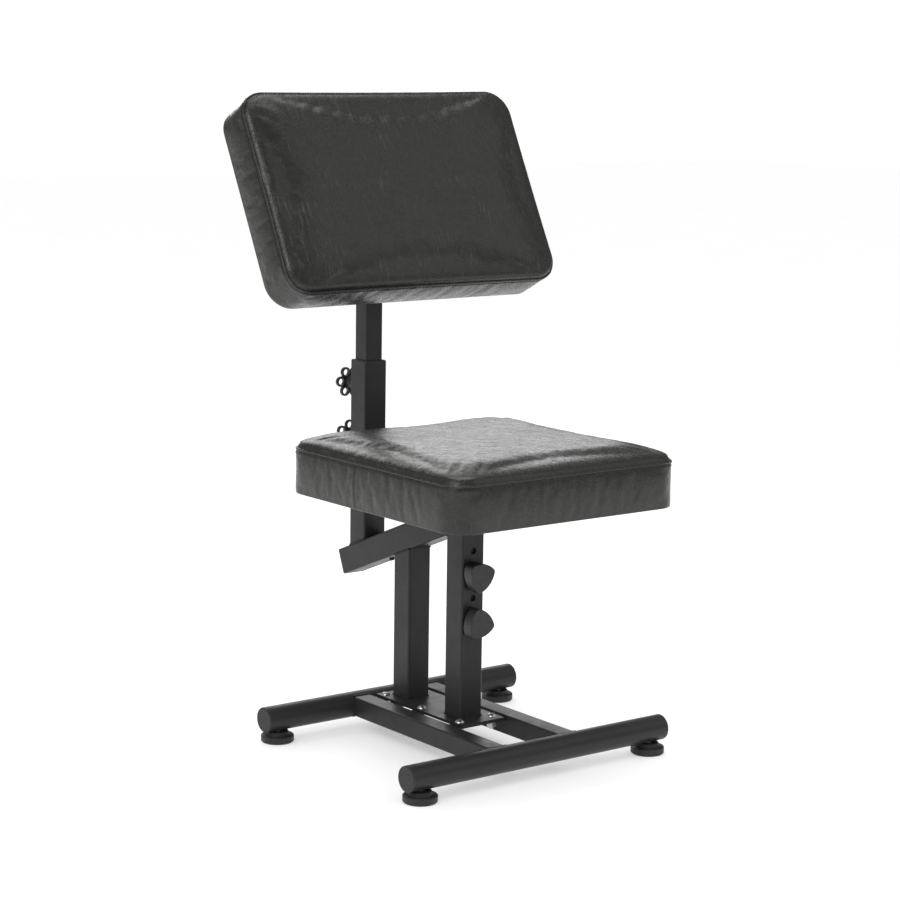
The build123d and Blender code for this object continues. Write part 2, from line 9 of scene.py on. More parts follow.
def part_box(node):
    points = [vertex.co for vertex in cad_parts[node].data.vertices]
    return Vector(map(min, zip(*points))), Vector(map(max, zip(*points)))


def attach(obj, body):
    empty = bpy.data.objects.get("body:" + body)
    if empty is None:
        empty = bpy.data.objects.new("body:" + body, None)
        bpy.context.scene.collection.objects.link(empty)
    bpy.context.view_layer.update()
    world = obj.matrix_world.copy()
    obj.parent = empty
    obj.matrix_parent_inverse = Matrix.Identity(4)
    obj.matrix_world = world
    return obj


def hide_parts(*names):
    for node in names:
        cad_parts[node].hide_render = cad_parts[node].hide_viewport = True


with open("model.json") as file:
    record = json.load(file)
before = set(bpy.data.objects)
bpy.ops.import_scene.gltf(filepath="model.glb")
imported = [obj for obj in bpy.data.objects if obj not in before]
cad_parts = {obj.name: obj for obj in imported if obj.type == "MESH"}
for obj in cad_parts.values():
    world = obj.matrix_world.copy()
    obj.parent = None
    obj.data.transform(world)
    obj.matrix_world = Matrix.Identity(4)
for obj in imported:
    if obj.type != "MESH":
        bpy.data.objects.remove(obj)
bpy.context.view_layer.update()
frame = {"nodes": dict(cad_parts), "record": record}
nodes = frame["nodes"]
MM = 0.001


# ==== Node materials ====
class Shader:
    """A material whose colour, roughness and bump come from nodes in the piece's own coordinates, in metres."""

    def __init__(self, name, roughness, metallic=0.0, specular=0.5):
        self.material = bpy.data.materials.new(name)
        self.material.use_nodes = True
        self.tree = self.material.node_tree
        self.bsdf = self.tree.nodes["Principled BSDF"]
        self.bsdf.inputs["Roughness"].default_value = roughness
        self.bsdf.inputs["Metallic"].default_value = metallic
        self.bsdf.inputs["Specular IOR Level"].default_value = specular
        self.place = self.node("ShaderNodeTexCoord").outputs["Object"]
        self.normal = None

    def node(self, kind, **settings):
        made = self.tree.nodes.new(kind)
        for key, value in settings.items():
            setattr(made, key, value)
        return made

    def link(self, source, target):
        self.tree.links.new(source, target)

    def stretched(self, x, y, z, turn=(0, 0, 0)):
        """Coordinates scaled along each axis, after a turn in radians."""
        made = self.node("ShaderNodeMapping")
        self.link(self.place, made.inputs["Vector"])
        made.inputs["Rotation"].default_value = turn
        made.inputs["Scale"].default_value = (x, y, z)
        return made.outputs[0]

    def noise(self, scale, detail=3.0, rough=0.5, place=None, distortion=0.0):
        made = self.node("ShaderNodeTexNoise")
        self.link(place or self.place, made.inputs["Vector"])
        made.inputs["Scale"].default_value = scale
        made.inputs["Detail"].default_value = detail
        made.inputs["Roughness"].default_value = rough
        made.inputs["Distortion"].default_value = distortion
        return made.outputs["Fac"]

    def cells(self, scale, feature="F1", place=None):
        made = self.node("ShaderNodeTexVoronoi", feature=feature)
        self.link(place or self.place, made.inputs["Vector"])
        made.inputs["Scale"].default_value = scale
        return made.outputs["Distance"]

    def waves(self, scale, axis="X", place=None, distortion=0.0):
        made = self.node("ShaderNodeTexWave", bands_direction=axis)
        self.link(place or self.place, made.inputs["Vector"])
        made.inputs["Scale"].default_value = scale
        made.inputs["Distortion"].default_value = distortion
        return made.outputs["Fac"]

    def spread(self, value, low, high, to_low=0.0, to_high=1.0, smooth=True):
        made = self.node("ShaderNodeMapRange", interpolation_type="SMOOTHSTEP" if smooth else "LINEAR")
        self.link(value, made.inputs["Value"])
        for key, number in zip(("From Min", "From Max", "To Min", "To Max"), (low, high, to_low, to_high)):
            made.inputs[key].default_value = number
        return made.outputs["Result"]

    def math(self, operation, first, second):
        made = self.node("ShaderNodeMath", operation=operation)
        for socket, value in zip(made.inputs, (first, second)):
            if isinstance(value, (int, float)):
                socket.default_value = value
            else:
                self.link(value, socket)
        return made.outputs[0]

    def blend(self, factor, first, second):
        """A colour between two: each is three linear numbers or a colour made before."""
        made = self.node("ShaderNodeMix", data_type="RGBA")
        self.link(factor, made.inputs[0])
        for socket, value in ((made.inputs[6], first), (made.inputs[7], second)):
            if isinstance(value, (tuple, list)):
                socket.default_value = (*value, 1)
            else:
                self.link(value, socket)
        return made.outputs[2]

    def colour(self, value):
        self.link(value, self.bsdf.inputs["Base Color"])

    def roughness(self, value):
        self.link(value, self.bsdf.inputs["Roughness"])

    def bump(self, height, distance, strength=1.0):
        """Relief of a real depth in metres, on top of the relief added before."""
        made = self.node("ShaderNodeBump")
        made.inputs["Strength"].default_value = strength
        made.inputs["Distance"].default_value = distance
        self.link(height, made.inputs["Height"])
        if self.normal is not None:
            self.link(self.normal, made.inputs["Normal"])
        self.normal = made.outputs[0]
        self.link(self.normal, self.bsdf.inputs["Normal"])

    def edges(self, low=0.52, high=0.62):
        """1 on worn outer edges, 0 elsewhere."""
        return self.spread(self.node("ShaderNodeNewGeometry").outputs["Pointiness"], low, high)


def powder_coat():
    s = Shader("powder_coat", 0.4, specular=0.25)
    clouds = s.noise(14, 4)
    peel = s.noise(520, 2, 0.55)
    specks = s.spread(s.noise(1900, 1), 0.66, 0.74)
    body = s.blend(clouds, (0.0065, 0.0066, 0.007), (0.0115, 0.0116, 0.0122))
    body = s.blend(s.math("MULTIPLY", specks, 0.25), body, (0.03, 0.03, 0.032))
    s.colour(s.blend(s.math("MULTIPLY", s.edges(), 0.3), body, (0.05, 0.05, 0.052)))
    handled = s.spread(s.noise(33, 5, 0.65), 0.35, 0.75, 0.34, 0.47)
    s.roughness(handled)
    s.bump(peel, 0.00016, 0.55)
    s.bump(s.noise(110, 2), 0.0002, 0.35)
    return s.material


def zinc_plate():
    s = Shader("zinc_plate", 0.28, metallic=1.0)
    mottle = s.spread(s.noise(420, 4, 0.6), 0.3, 0.7)
    s.colour(s.blend(mottle, (0.52, 0.53, 0.54), (0.8, 0.81, 0.82)))
    s.roughness(s.spread(s.noise(900, 3), 0.3, 0.7, 0.2, 0.36))
    s.bump(s.noise(1600, 2), 0.00003, 0.5)
    return s.material


def moulded(name, dark, light, roughness, grain, depth):
    """Matte moulded plastic with a spark-eroded grain and faint flow marks."""
    s = Shader(name, roughness)
    flow = s.noise(45, 3, 0.6, s.stretched(1, 1, 0.3))
    s.colour(s.blend(s.math("MULTIPLY", s.edges(), 0.5), s.blend(flow, dark, light), tuple(2.4 * c for c in light)))
    s.roughness(s.spread(s.noise(260, 3), 0.3, 0.7, roughness - 0.06, roughness + 0.08))
    s.bump(s.cells(grain), depth, 0.7)
    s.bump(s.noise(grain / 2.5, 2), depth, 0.5)
    return s.material


def foot_rubber():
    s = Shader("foot_rubber", 0.55, specular=0.42)
    s.colour(s.blend(s.noise(60, 4, 0.7), (0.009, 0.009, 0.0095), (0.019, 0.019, 0.0195)))
    s.roughness(s.spread(s.noise(150, 4), 0.3, 0.7, 0.4, 0.62))
    s.bump(s.noise(700, 3, 0.7), 0.00012, 0.6)
    return s.material


def leatherette():
    """Pull-up leatherette: near-black with a warm cast, fine pores, short pale creases and soft mottling."""
    s = Shader("leatherette", 0.3, specular=0.5)
    drift = s.node("ShaderNodeTexNoise")
    s.link(s.place, drift.inputs["Vector"])
    drift.inputs["Scale"].default_value = 60
    drift.inputs["Detail"].default_value = 4
    warp = s.node("ShaderNodeVectorMath", operation="MULTIPLY_ADD")
    s.link(drift.outputs["Color"], warp.inputs[0])
    warp.inputs[1].default_value = (0.016, 0.016, 0.016)
    s.link(s.place, warp.inputs[2])
    warped = warp.outputs[0]
    pores = s.spread(s.cells(820, "DISTANCE_TO_EDGE"), 0.0, 0.16)
    lines = []
    for turn, across, along, low in (((0.5, 0.3, 0.9), 300, 32, 0.60), ((-0.4, 0.6, -0.5), 260, 38, 0.62)):
        streak = s.noise(1.0, 2, 0.45, s.stretched(across, along, along, turn))
        lines.append(s.spread(streak, low, low + 0.08))
    patches = s.spread(s.noise(16, 4, 0.6), 0.47, 0.64)
    creases = s.math("MULTIPLY", s.math("MAXIMUM", lines[0], lines[1]), patches)
    crackle = s.spread(s.cells(190, "DISTANCE_TO_EDGE", warped), 0.0, 0.07, 1.0, 0.0)
    crackle = s.math("MULTIPLY", crackle, s.spread(s.noise(31, 3, 0.6), 0.42, 0.66))
    mottle = s.noise(140, 5, 0.7)
    body = s.blend(s.noise(8, 5, 0.6), (0.0065, 0.0068, 0.0066), (0.0135, 0.0135, 0.0112))
    body = s.blend(s.math("MULTIPLY", s.spread(mottle, 0.35, 0.75), 0.5), body, (0.019, 0.019, 0.0165))
    body = s.blend(s.math("MULTIPLY", crackle, 0.22), body, (0.03, 0.03, 0.026))
    s.colour(s.blend(s.math("MULTIPLY", creases, 0.5), body, (0.05, 0.048, 0.04)))
    s.roughness(s.spread(s.noise(85, 5, 0.7), 0.3, 0.7, 0.22, 0.33))
    s.bump(pores, 0.0001, 0.4)
    s.bump(s.math("ADD", crackle, s.math("MULTIPLY", creases, 1.4)), 0.00022, 0.6)
    s.bump(mottle, 0.0003, 0.45)
    s.bump(s.noise(48, 3, 0.5, distortion=0.8), 0.0012, 0.4)
    return s.material


def thread_material():
    s = Shader("bonded_thread", 0.5)
    s.colour(s.blend(s.noise(700, 2), (0.011, 0.011, 0.0105), (0.03, 0.03, 0.028)))
    s.bump(s.waves(900, "DIAGONAL"), 0.00008, 0.8)
    return s.material


def plywood():
    s = Shader("plywood", 0.62)
    grain = s.noise(26, 6, 0.65, s.stretched(1, 9, 1), 0.4)
    plies = s.spread(s.waves(130, "Z"), 0.4, 0.6)
    s.colour(s.blend(plies, s.blend(grain, (0.36, 0.23, 0.12), (0.5, 0.34, 0.19)), (0.27, 0.16, 0.08)))
    s.roughness(s.spread(grain, 0.2, 0.8, 0.55, 0.74))
    s.bump(grain, 0.0003, 0.5)
    return s.material


def cambric():
    """Black bonded dust cover: a fine plain weave with stray fibres."""
    s = Shader("cambric", 0.88, specular=0.25)
    warp, weft = s.waves(330, "X"), s.waves(330, "Y")
    weave = s.math("MULTIPLY", warp, weft)
    fibres = s.noise(900, 4, 0.7, s.stretched(1, 0.25, 1, (0, 0, 0.7)))
    s.colour(s.blend(s.math("ADD", s.math("MULTIPLY", weave, 0.6), s.math("MULTIPLY", fibres, 0.4)),
                     (0.006, 0.006, 0.0065), (0.024, 0.024, 0.026)))
    s.bump(weave, 0.00018, 0.8)
    s.bump(fibres, 0.0001, 0.6)
    return s.material


def staple_wire():
    s = Shader("staple_wire", 0.32, metallic=1.0)
    s.colour(s.blend(s.noise(800, 3), (0.45, 0.45, 0.46), (0.68, 0.68, 0.7)))
    s.bump(s.noise(1500, 2), 0.00003, 0.5)
    return s.material


finish = {
    "powder_coat": powder_coat(),
    "zinc_plate": zinc_plate(),
    "cap_plastic": moulded("cap_plastic", (0.012, 0.0125, 0.0132), (0.02, 0.0205, 0.0215), 0.58, 2300, 0.00012),
    "knob_plastic": moulded("knob_plastic", (0.0125, 0.0125, 0.013), (0.019, 0.019, 0.0195), 0.44, 2800, 0.00006),
    "foot_rubber": foot_rubber(),
    "leatherette": leatherette(),
    "plywood": plywood(),
    "cambric": cambric(),
}
thread = thread_material()
staple_metal = staple_wire()
for part in frame["record"]["subparts"]:
    mesh = nodes[part["node"]].data
    mesh.materials.clear()
    mesh.materials.append(finish[part["material_slot"]])


# ==== Making pieces ====
def piece(name, points, faces, material, body, smooth=True):
    mesh = bpy.data.meshes.new(name)
    mesh.from_pydata([tuple(p) for p in points], [], [tuple(f) for f in faces])
    mesh.validate()
    mesh.materials.append(material)
    mesh.polygons.foreach_set("use_smooth", [smooth] * len(mesh.polygons))
    made = bpy.data.objects.new(name, mesh)
    bpy.context.scene.collection.objects.link(made)
    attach(made, body)
    return made


def resample(path, pitch, closed):
    """Even points along a line through the path's points, and the line's length."""
    path = np.asarray(path, float)
    ends = np.vstack([path, path[:1]]) if closed else path
    steps = np.linalg.norm(np.diff(ends, axis=0), axis=1)
    run = np.concatenate([[0], np.cumsum(steps)])
    count = max(int(round(run[-1] / pitch)), 3)
    spots = np.linspace(0, run[-1], count, endpoint=False) if closed else np.linspace(0, run[-1], count + 1)
    return np.stack([np.interp(spots, run, ends[:, k]) for k in range(3)], 1), run[-1]


def sweep(path, radii, sides, closed, start=0):
    """Points and faces of a round bar along a path, with a radius at each point."""
    path = np.asarray(path, float)
    count = len(path)
    if closed:
        along = np.roll(path, -1, 0) - np.roll(path, 1, 0)
    else:
        along = np.gradient(path, axis=0)
    along /= np.linalg.norm(along, axis=1)[:, None]
    side = np.cross(along[0], (0.31, 0.57, 0.76))
    points = []
    for k in range(count):
        side = side - along[k] * np.dot(side, along[k])
        side /= np.linalg.norm(side)
        other = np.cross(along[k], side)
        for turn in range(sides):
            angle = 2 * math.pi * turn / sides
            points.append(path[k] + radii[k] * (math.cos(angle) * side + math.sin(angle) * other))
    faces = []
    for k in range(count if closed else count - 1):
        here, there = k * sides, ((k + 1) % count) * sides
        for turn in range(sides):
            after = (turn + 1) % sides
            faces.append([start + v for v in (here + turn, there + turn, there + after, here + after)])
    if not closed:
        faces.append([start + v for v in range(sides)])
        faces.append([start + v for v in reversed(range((count - 1) * sides, count * sides))])
    return points, faces


bar_sides, bar_end_share = 6, 0.55


def bars(name, paths, radius, material, body):
    """Many short round bars with rounded ends, as one piece."""
    points, faces = [], []
    for path in paths:
        radii = np.full(len(path), radius)
        radii[[0, -1]] *= bar_end_share
        more_points, more_faces = sweep(path, radii, bar_sides, False, start=len(points))
        points += more_points
        faces += more_faces
    return piece(name, points, faces, material, body)


weld_random = random.Random(7)
weld_sides = 10
weld_step, weld_ripple = 0.55 * MM, 2.3 * MM


def weld(name, loops, bead, body):
    """Rippled fillet weld beads along loops of points, powder coated over."""
    points, faces = [], []
    for loop in loops:
        path, length = resample(loop, weld_step, True)
        ripples = max(round(length / weld_ripple), 4)
        shift = weld_random.random()
        radii = []
        for k in range(len(path)):
            phase = k / len(path) * ripples + shift
            drift = 1 + 0.07 * math.sin(2 * math.pi * (3 * k / len(path) + shift))
            radii.append(bead * drift * (0.88 + 0.12 * abs(math.sin(math.pi * phase))))
        more_points, more_faces = sweep(path, radii, weld_sides, True, start=len(points))
        points += more_points
        faces += more_faces
    return piece(name, points, faces, finish["powder_coat"], body)


def square_loop(centre_x, centre_y, half, corner, height):
    """A rounded square in plan at heights given by a function of y."""
    loop = []
    for quarter in range(4):
        for step in range(5):
            angle = math.pi / 2 * (quarter + step / 4)
            sx, sy = ((1, 1), (-1, 1), (-1, -1), (1, -1))[quarter]
            x = centre_x + sx * (half - corner) + corner * math.cos(angle)
            y = centre_y + sy * (half - corner) + corner * math.sin(angle)
            loop.append((x, y, height(y)))
    return loop


# ==== Welds ====
def middle(node):
    low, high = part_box(node)
    return (low + high) / 2


arm_slope = math.tan(math.radians(22))
back_lean = math.radians(27)
post_corner, slider_corner = 3 * MM, 2 * MM
foot_bead, rail_bead, arm_bead, plate_bead = 1.9 * MM, 1.8 * MM, 1.7 * MM, 1.6 * MM
front_low, front_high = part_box("front_post")
rear_low, rear_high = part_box("rear_post")
sleeve_low, sleeve_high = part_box("backrest_sleeve")
post_half = (front_high.x - front_low.x) / 2
plate_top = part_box("base_plate")[1].z
front_y, rear_y, back_y = middle("front_post").y, middle("rear_post").y, middle("backrest_sleeve").y


def under_arm(y):
    return rear_high.z - (y - rear_low.y) * arm_slope


def over_arm(y):
    return sleeve_low.z + (sleeve_high.y - y) * arm_slope


weld("weld_post_feet", [square_loop(0, y, post_half, post_corner, lambda y: plate_top) for y in (front_y, rear_y)],
     foot_bead, "base")
weld("weld_arm_to_rear_post", [square_loop(0, rear_y, post_half, post_corner, under_arm)], arm_bead, "base")
weld("weld_sleeve_to_arm", [square_loop(0, back_y, post_half, post_corner, over_arm)], arm_bead, "base")
arm_mouth = [
    (x, front_high.y, z)
    for x, z in ((-post_half, under_arm(front_high.y)), (post_half, under_arm(front_high.y)),
                 (post_half, over_arm(front_high.y)), (-post_half, over_arm(front_high.y)))
]
weld("weld_arm_to_front_post", [arm_mouth], arm_bead, "base")

rail_loops = []
for tube_name, toward in (("front_cross_tube", 1), ("rear_cross_tube", -1)):
    tube_low, tube_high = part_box(tube_name)
    tube_r = (tube_high.z - tube_low.z) / 2
    tube = middle(tube_name)
    for rail in ("left_rail", "right_rail"):
        rail_low, rail_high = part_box(rail)
        loop = []
        for x, heights in ((rail_low.x, (0, 1)), (rail_high.x, (1, 0))):
            for step in range(9):
                share = step / 8 if heights == (0, 1) else 1 - step / 8
                z = rail_low.z + share * (rail_high.z - rail_low.z)
                loop.append((x, tube.y + toward * math.sqrt(tube_r**2 - (z - tube.z) ** 2), z))
        rail_loops.append(loop)
weld("weld_rails_to_tubes", rail_loops, rail_bead, "base")

slider_half = (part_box("seat_slider_tube")[1].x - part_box("seat_slider_tube")[0].x) / 2
seat_plate_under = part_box("seat_slider_tube")[1].z
weld("weld_seat_plate", [square_loop(0, front_y, slider_half, slider_corner, lambda y: seat_plate_under)],
     plate_bead, "seat")
back_tube_low, back_tube_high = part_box("backrest_slider_tube")
weld("weld_backrest_plate", [
    square_loop(0, back_y, slider_half, slider_corner,
                lambda y: back_tube_high.z + (y - back_tube_high.y) / math.tan(back_lean) - 0.6 * MM)
], plate_bead, "backrest")


# ==== Threaded clamp studs behind the sleeve ====
def threaded_rod(name, node, axis, pitch, body):
    """A rolled thread with the CAD stud's length and outside diameter."""
    low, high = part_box(node)
    centre = (low + high) / 2
    length = high[axis] - low[axis]
    radius = min(high[k] - low[k] for k in range(3) if k != axis) / 2 - 0.01 * MM
    depth = 0.55 * pitch
    sides = 28
    steps = int(length / (pitch / 8))
    others = [k for k in range(3) if k != axis]
    points, faces = [], []
    for k in range(steps + 1):
        along = low[axis] + length * k / steps
        taper = min(1, min(k, steps - k) / 6 + 0.35)
        for turn in range(sides):
            phase = (along / pitch - turn / sides) % 1
            crest = min(1, max(0, abs(2 * phase - 1) * 1.35 - 0.12))
            r = (radius - depth * (1 - crest)) * (0.86 + 0.14 * taper)
            angle = 2 * math.pi * turn / sides
            spot = [0, 0, 0]
            spot[axis] = along
            spot[others[0]] = centre[others[0]] + r * math.cos(angle)
            spot[others[1]] = centre[others[1]] + r * math.sin(angle)
            points.append(spot)
    for k in range(steps):
        for turn in range(sides):
            after = (turn + 1) % sides
            faces.append((k * sides + turn, k * sides + after, (k + 1) * sides + after, (k + 1) * sides + turn))
    faces.append(tuple(range(sides)))
    faces.append(tuple(reversed(range(steps * sides, (steps + 1) * sides))))
    made = piece(name, points, faces, finish["zinc_plate"], body)
    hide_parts(node)
    return made


for which in ("upper", "lower"):
    threaded_rod(f"backrest_clamp_thread_{which}", f"backrest_knob_stud_{which}", 1, 1.5 * MM,
                 f"{which}_backrest_knob")


# ==== Cushions ====
def inflate(cover, pinned, pressure, slack, frames, cap):
    """Cloth simulation of the padded cover: it swells between its pinned seams. No point moves further than cap."""
    mesh = cover.data
    start = np.empty(len(mesh.vertices) * 3)
    mesh.vertices.foreach_get("co", start)
    group = cover.vertex_groups.new(name="sewn")
    group.add([int(k) for k in pinned], 1.0, "REPLACE")
    cloth = cover.modifiers.new("padding", "CLOTH")
    cloth.settings.vertex_group_mass = "sewn"
    cloth.settings.quality = 5
    cloth.settings.mass = 0.4
    cloth.settings.tension_stiffness = 18
    cloth.settings.compression_stiffness = 18
    cloth.settings.shear_stiffness = 8
    cloth.settings.bending_stiffness = 0.6
    cloth.settings.use_pressure = True
    cloth.settings.uniform_pressure_force = pressure
    cloth.settings.shrink_min = -slack
    cloth.settings.effector_weights.gravity = 0
    cloth.point_cache.frame_start = 1
    cloth.point_cache.frame_end = frames
    scene = bpy.context.scene
    for k in range(1, frames + 1):
        scene.frame_set(k)
    settled = cover.evaluated_get(bpy.context.evaluated_depsgraph_get())
    end = np.empty(len(mesh.vertices) * 3)
    settled.data.vertices.foreach_get("co", end)
    cover.modifiers.remove(cloth)
    cover.vertex_groups.remove(group)
    scene.frame_set(1)
    move = (end - start).reshape(-1, 3)
    out = np.empty(len(mesh.vertices) * 3)
    mesh.vertices.foreach_get("normal", out)
    out = out.reshape(-1, 3)
    inward = np.minimum((move * out).sum(1) + 0.2 * MM, 0)
    move -= out * inward[:, None]
    far = np.linalg.norm(move, axis=1)[:, None]
    move *= cap * np.tanh(far / cap) / np.maximum(far, 1e-9)
    mesh.vertices.foreach_set("co", (start.reshape(-1, 3) + move).ravel())
    mesh.update()


def ring_point(i, j, a, b, r):
    """The point of a rounded rectangle 2a by 2b that a step (i, j) on the edge of a square grid goes to."""
    if max(abs(i), abs(j)) == 0:
        return 0.0, 0.0
    flip = abs(j) > abs(i)
    reach, cross = (b, a) if flip else (a, b)
    main, other = (j, i) if flip else (i, j)
    share = other / abs(main)
    length = (cross - r) + math.pi * r / 4
    run = abs(share) * length
    if run <= cross - r:
        out, across = reach, run
    else:
        angle = (run - (cross - r)) / r
        out, across = reach - r + r * math.cos(angle), cross - r + r * math.sin(angle)
    out, across = math.copysign(out, main), math.copysign(across, share)
    return (across, out) if flip else (out, across)


def edge_steps(half):
    """The square grid's edge, once round, anticlockwise from its lower right corner."""
    return (
        [(half, j) for j in range(-half, half)]
        + [(i, half) for i in range(half, -half, -1)]
        + [(-half, j) for j in range(half, -half, -1)]
        + [(i, -half) for i in range(-half, half)]
    )


class Pad:
    """The cover of a padded panel, in the panel's own frame: u across, v along, n outward from the board."""

    def __init__(self, name, body, u, v, n, corner, seam, swell, pull, crown_run, half=40):
        self.name, self.body = name, body
        self.axes = [np.array(w, float) for w in (u, v, n)]
        node = nodes[f"{name}_cushion"]
        spots = np.empty(len(node.data.vertices) * 3)
        node.data.vertices.foreach_get("co", spots)
        reach = spots.reshape(-1, 3) @ np.array(self.axes).T
        low, high = reach.min(0), reach.max(0)
        self.origin = sum(w * c for w, c in zip(self.axes, ((low[0] + high[0]) / 2, (low[1] + high[1]) / 2, low[2])))
        self.a, self.b = (high[0] - low[0]) / 2 - swell, (high[1] - low[1]) / 2 - swell
        self.height = high[2] - low[2]
        self.corner, self.seam, self.swell, self.pull = corner, seam, swell, pull
        self.crown_run, self.half = crown_run, half

    def world(self, local):
        local = np.asarray(local, float)
        return self.origin + local @ np.array(self.axes)

    def local(self, spots):
        return (np.asarray(spots, float) - self.origin) @ np.array(self.axes).T

    def outline(self, i, j, half, inset, pull=None):
        share = max(abs(i), abs(j)) / half
        a, b = (self.a - inset) * share, (self.b - inset) * share
        corner = max(self.corner - inset, 4 * MM) * (0.25 + 0.75 * share) * min(share * 1.6, 1)
        x, y = ring_point(i, j, a, b, corner)
        pull = self.pull if pull is None else pull
        bow_x = pull * (1 - (y / self.b) ** 2) * (x / self.a)
        bow_y = pull * (1 - (x / self.a) ** 2) * (y / self.b)
        return x - bow_x, y - bow_y

    def crown(self, inset):
        rise = self.height - self.swell - self.seam
        near = 1 - min(inset / self.crown_run, 1)
        return self.seam + rise * (1 - near**2.8) ** (1 / 2.8)

    def build(self):
        half = self.half
        local, index = [], {}
        for i in range(-half, half + 1):
            for j in range(-half, half + 1):
                share = max(abs(i), abs(j)) / half
                x, y = self.outline(i, j, half, 0)
                inset = (1 - share) * min(self.a, self.b)
                index[i, j] = len(local)
                local.append((x, y, self.crown(inset)))
        faces = [
            (index[i, j], index[i + 1, j], index[i + 1, j + 1], index[i, j + 1])
            for i in range(-half, half)
            for j in range(-half, half)
        ]
        steps = edge_steps(half)
        self.seam_ring = [index[s] for s in steps]
        bottom_round = 2.5 * MM
        drops = np.linspace(self.seam, bottom_round, 12)[1:]
        rings = [(0, z) for z in drops]
        lip = 13.6 * MM - self.swell
        rings += [(0.1 * MM, 0.8 * MM), (0.6 * MM, -0.3 * MM), (1.6 * MM, -0.7 * MM), (4.5 * MM, -0.75 * MM),
                  (lip, -0.7 * MM), (lip, -0.1 * MM), (6 * MM, -0.1 * MM), (2.4 * MM, -0.1 * MM)]
        rings += self.cavity_wall()
        self.rings = [self.seam_ring]
        for inset, z in rings:
            ring = []
            pull = 0.4 * MM + (self.pull - 0.4 * MM) * min(max(z / self.seam, 0), 1)
            for i, j in steps:
                x, y = self.outline(i, j, half, inset, pull)
                ring.append(len(local))
                local.append((x, y, z))
            above = self.rings[-1]
            count = len(ring)
            faces += [(above[k], ring[k], ring[(k + 1) % count], above[(k + 1) % count]) for k in range(count)]
            self.rings.append(ring)
        last = self.rings[-1]
        faces += [(last[k], last[-k - 1], last[-k - 2], last[k + 1]) for k in range(len(last) // 2 - 1)]
        self.fixed = list(self.seam_ring) + [v for ring in self.rings[len(drops):] for v in ring]
        made = piece(f"{self.name}_upholstery", self.world(local), faces, finish["leatherette"], self.body)
        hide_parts(f"{self.name}_cushion")
        self.cover = made
        self.band_rows = len(drops)
        return made

    def cavity_wall(self):
        """The hollow that holds the board, a little clear of it."""
        spots = np.empty(len(nodes[f"{self.name}_board"].data.vertices) * 3)
        nodes[f"{self.name}_board"].data.vertices.foreach_get("co", spots)
        thick = self.local(spots.reshape(-1, 3))[:, 2].max()
        inset = 3.8 * MM - self.swell - 0.4 * MM
        return [(inset, 0.4 * MM), (inset, thick + 0.2 * MM), (inset + 6 * MM, thick + 0.3 * MM)]

    def spots(self):
        flat = np.empty(len(self.cover.data.vertices) * 3)
        self.cover.data.vertices.foreach_get("co", flat)
        return flat.reshape(-1, 3)

    def put(self, spots):
        self.cover.data.vertices.foreach_set("co", np.asarray(spots).ravel())
        self.cover.data.update()

    def normals(self):
        flat = np.empty(len(self.cover.data.vertices) * 3)
        self.cover.data.vertices.foreach_get("normal", flat)
        return flat.reshape(-1, 3)

    def pad_out(self, pressure, slack, frames, cap):
        inflate(self.cover, self.fixed, pressure, slack, frames, cap)

    def refine(self):
        finer = self.cover.modifiers.new("finer", "SUBSURF")
        finer.levels = finer.render_levels = 1
        finer.use_limit_surface = False
        settled = self.cover.evaluated_get(bpy.context.evaluated_depsgraph_get())
        fine = bpy.data.meshes.new_from_object(settled)
        self.cover.modifiers.remove(finer)
        rough = self.cover.data
        self.cover.data = fine
        fine.name = rough.name
        bpy.data.meshes.remove(rough)

    def relief(self):
        """Moves the cover's points along their normals into wrinkles, gathers and seam valleys."""
        spots, out = self.spots(), self.normals()
        local, facing = self.local(spots), out @ np.array(self.axes).T
        depth = np.array([
            puckers(self, p, wrinkling) + near_seam(self, p) + join_seam(self, p, f) for p, f in zip(local, facing)
        ])
        self.put(spots + out * depth[:, None])

    def row(self, ring, lift):
        """The line over one ring of the cover, lifted along the normals, with the normals."""
        spots, out = self.spots()[ring], self.normals()[ring]
        return spots + out * lift, out

    def inner_row(self, steps_in, lift):
        """The line over the crown, some grid steps inside the seam."""
        half = self.half
        near = half - steps_in
        wide = 2 * half + 1
        ring = [(i + half) * wide + (j + half) for i, j in edge_steps(near)]
        return self.row(ring, lift)


def stitches(name, line, out, body):
    """A row of lockstitches along a closed line: each dips into the cover at both ends."""
    along, total = resample(line, stitch_pitch, True)
    ends = np.vstack([line, line[:1]])
    steps = np.linalg.norm(np.diff(ends, axis=0), axis=1)
    run = np.concatenate([[0], np.cumsum(steps)])
    facing = np.vstack([out, out[:1]])

    def at(distance, table):
        return np.array([np.interp(distance % total, run, table[:, k]) for k in range(3)])

    paths = []
    for k in range(len(along)):
        first = total * k / len(along)
        path = []
        for share, height in ((0, -1.1), (0.15, 0.35), (0.5, 0.8), (0.85, 0.35), (1, -1.1)):
            spot = first + share * stitch_length
            path.append(at(spot, ends) + at(spot, facing) * height * stitch_r)
        paths.append(path)
    return bars(name, paths, stitch_r, thread, body)


join_at = {"seat": 29 * MM}


